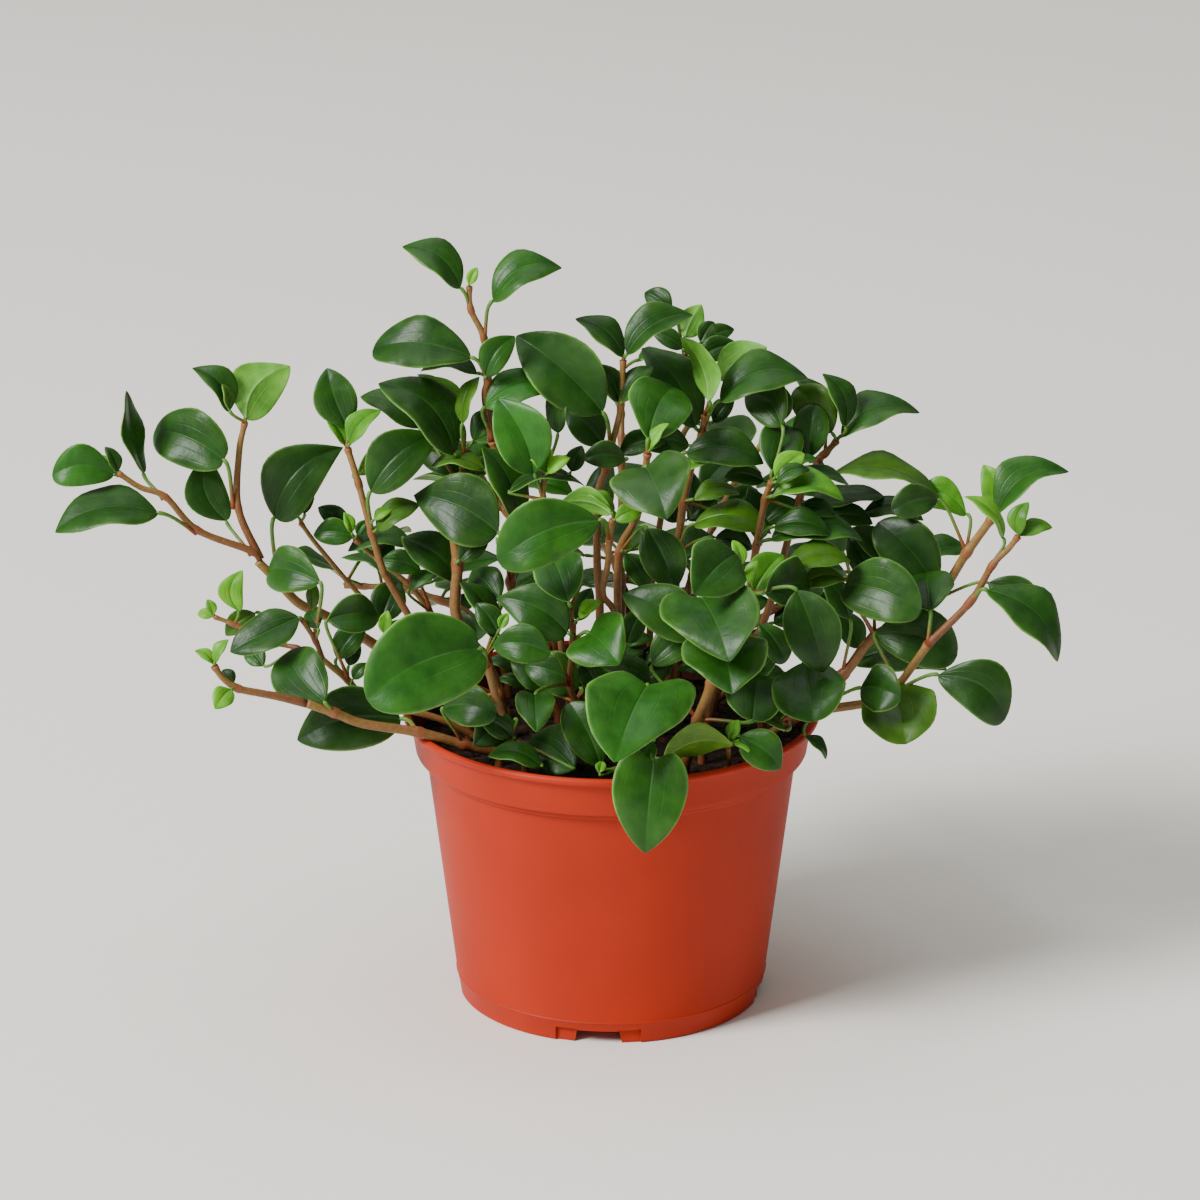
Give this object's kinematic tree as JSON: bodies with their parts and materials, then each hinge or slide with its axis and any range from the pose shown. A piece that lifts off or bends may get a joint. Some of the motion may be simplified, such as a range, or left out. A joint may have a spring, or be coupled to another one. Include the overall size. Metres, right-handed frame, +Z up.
{
  "type": "potted peperomia",
  "caption": "Bushy peperomia houseplant with thick branching stems and glossy pointed oval leaves, in a round tapered plastic nursery pot with a banded rim.",
  "frame": {"origin": "on the pot's axis at the surface that the pot stands on, in the middle of the flat disc under its floor", "axes": "+Z up along the pot's axis, +X to the viewer's right along the plant's widest spread, -Y towards the viewer"},
  "size_m": [0.3774, 0.2434, 0.2952],
  "materials": {
    "pot_plastic": "satin moulded terracotta-coloured plastic with a fine grain",
    "potting_soil": "loose dark peat and bark",
    "foliage": "smooth, softly glossy green leaf on brown stems"
  },
  "bodies": {
    "root": {"pot": "pot_plastic", "soil": "potting_soil", "shoot_far_left": "foliage", "shoot_low_left": "foliage", "shoot_left_mid": "foliage", "shoot_left_back": "foliage", "shoot_left_twig": "foliage", "shoot_left_upright": "foliage", "shoot_left_thick": "foliage", "shoot_front_left": "foliage", "shoot_tall_left": "foliage", "shoot_centre_dark": "foliage", "shoot_centre_left": "foliage", "shoot_centre_front": "foliage", "shoot_centre_face": "foliage", "shoot_centre_tall": "foliage", "shoot_right_back_top": "foliage", "shoot_centre_right": "foliage", "shoot_right_upper": "foliage", "shoot_right_mid": "foliage", "shoot_right_front": "foliage", "shoot_right_low": "foliage", "shoot_far_right": "foliage", "shoot_low_right": "foliage", "shoot_front_right": "foliage", "shoot_sprout": "foliage", "shoot_back_left_low": "foliage", "shoot_back_left": "foliage", "shoot_back_centre": "foliage", "shoot_back_right": "foliage", "shoot_back_right_low": "foliage", "shoot_back_low": "foliage"}
  },
  "joints": []
}
